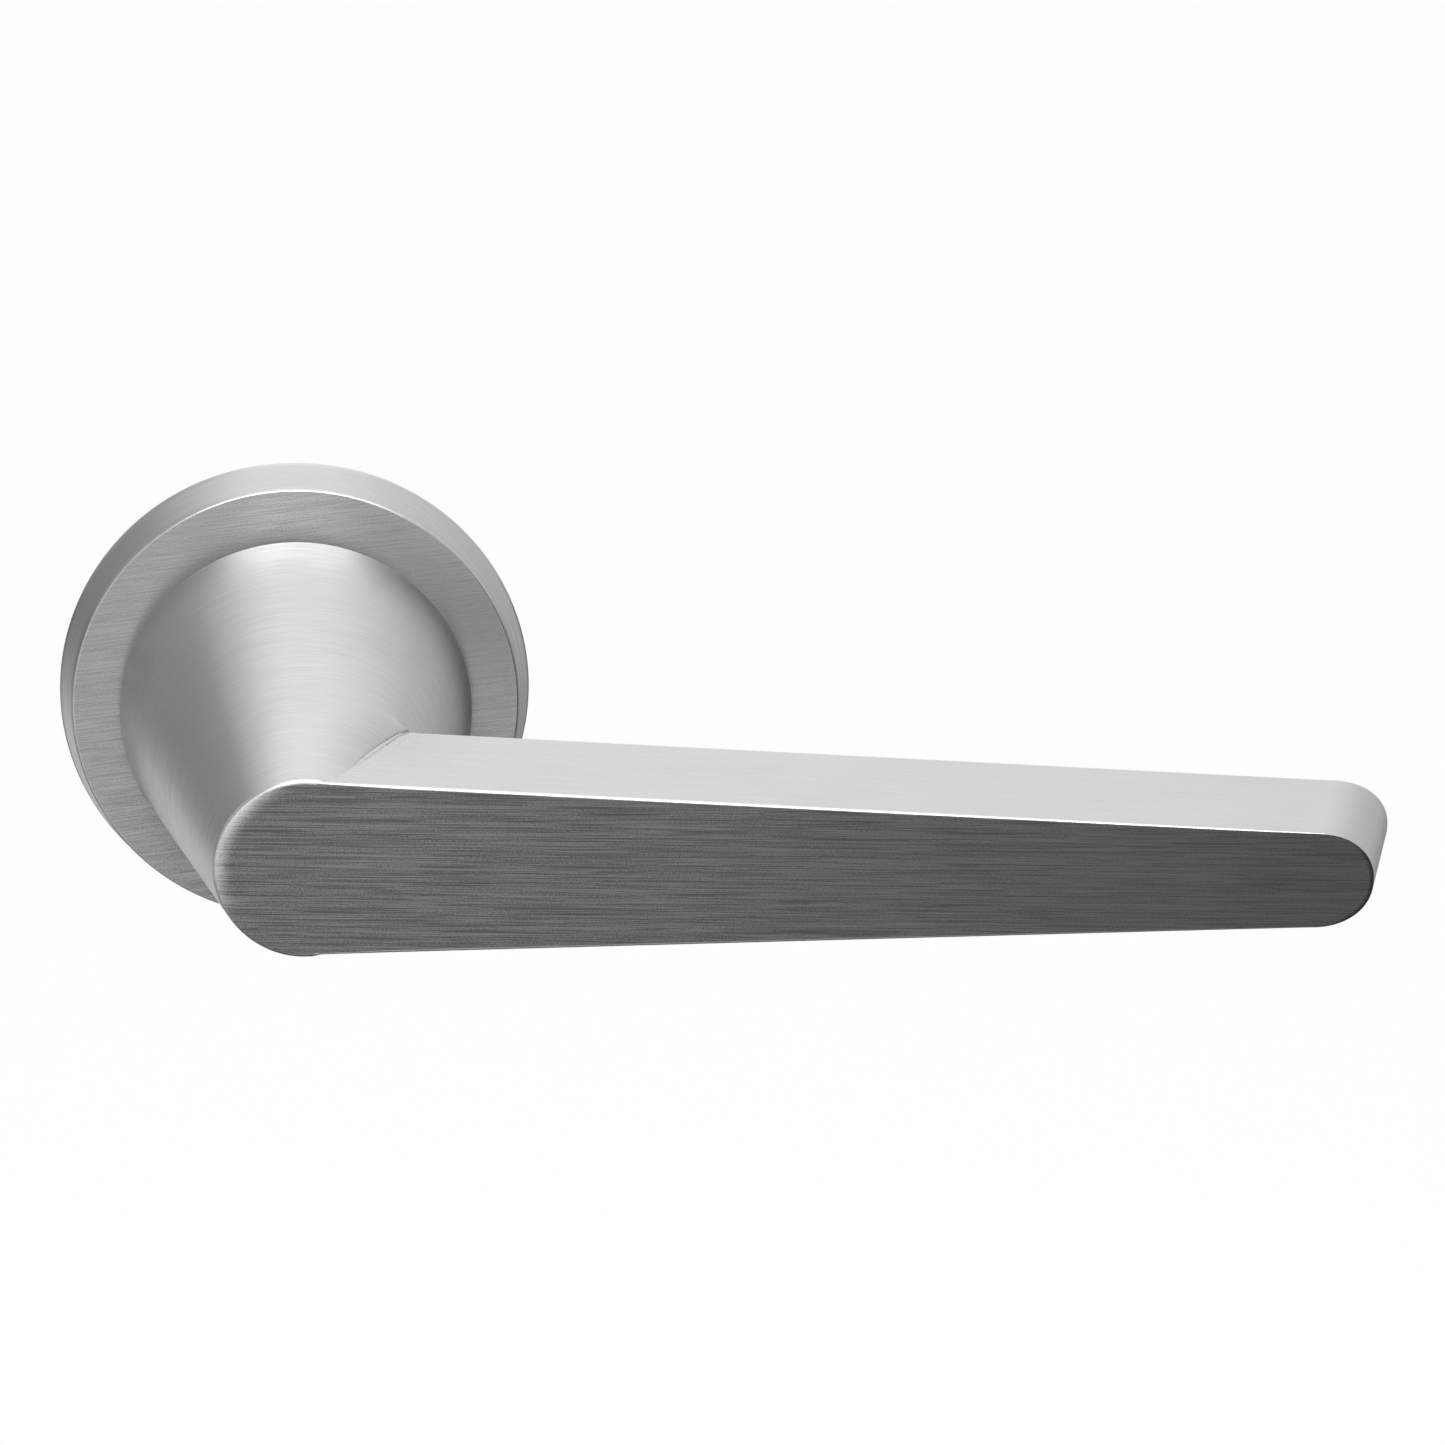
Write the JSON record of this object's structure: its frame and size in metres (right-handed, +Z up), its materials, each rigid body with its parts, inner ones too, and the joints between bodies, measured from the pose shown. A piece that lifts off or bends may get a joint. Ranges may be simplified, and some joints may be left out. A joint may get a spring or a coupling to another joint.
{
  "type": "door lever handle",
  "caption": "Door lever handle: flat tapered grip on a conical neck that turns in a round sprung rose, with a square spindle and tapped posts into the door.",
  "frame": {"origin": "where the spindle axis crosses the door face, on the back of the rose, midway between the two fixing posts", "axes": "+X along the lever to its tip, +Y into the door along the spindle, +Z up"},
  "size_m": [0.1445, 0.121, 0.053],
  "materials": {
    "satin_steel": "satin brushed stainless steel, grain along the grip, across the rose and around the neck",
    "turned_steel": "turned and milled, unpolished",
    "zinc_steel": "zinc plated, passivated",
    "black_steel": "black oxide",
    "spring_steel": "oiled spring steel",
    "black_plastic": "moulded acetal",
    "grey_plastic": "glass-filled nylon"
  },
  "bodies": {
    "rose": {"rose_cover": "satin_steel", "cover_clip_ring": "spring_steel", "hub_bearing": "black_plastic", "spring_cover": "zinc_steel", "spring_cover_screws": "zinc_steel", "spring_housing": "grey_plastic", "return_spring": "spring_steel", "base_plate": "zinc_steel", "fixing_posts": "zinc_steel", "post_screws": "zinc_steel", "post_washers": "zinc_steel"},
    "lever": {"lever_grip": "satin_steel", "lever_neck": "satin_steel", "hub_insert": "turned_steel", "grub_screw": "black_steel", "spindle": "zinc_steel", "drive_ring": "turned_steel", "stop_pins": "turned_steel", "retaining_ring": "black_steel", "wave_washer": "spring_steel"}
  },
  "joints": [
    {"name": "lever_turn", "type": "hinge", "parent": "rose", "child": "lever", "pos_m": [0, 0, 0], "axis": [0, 1, 0], "range_deg": [0, 45], "stiffness_Nm_per_rad": 0.25, "springref_deg": -85.94, "deforming": ["return_spring"]}
  ]
}
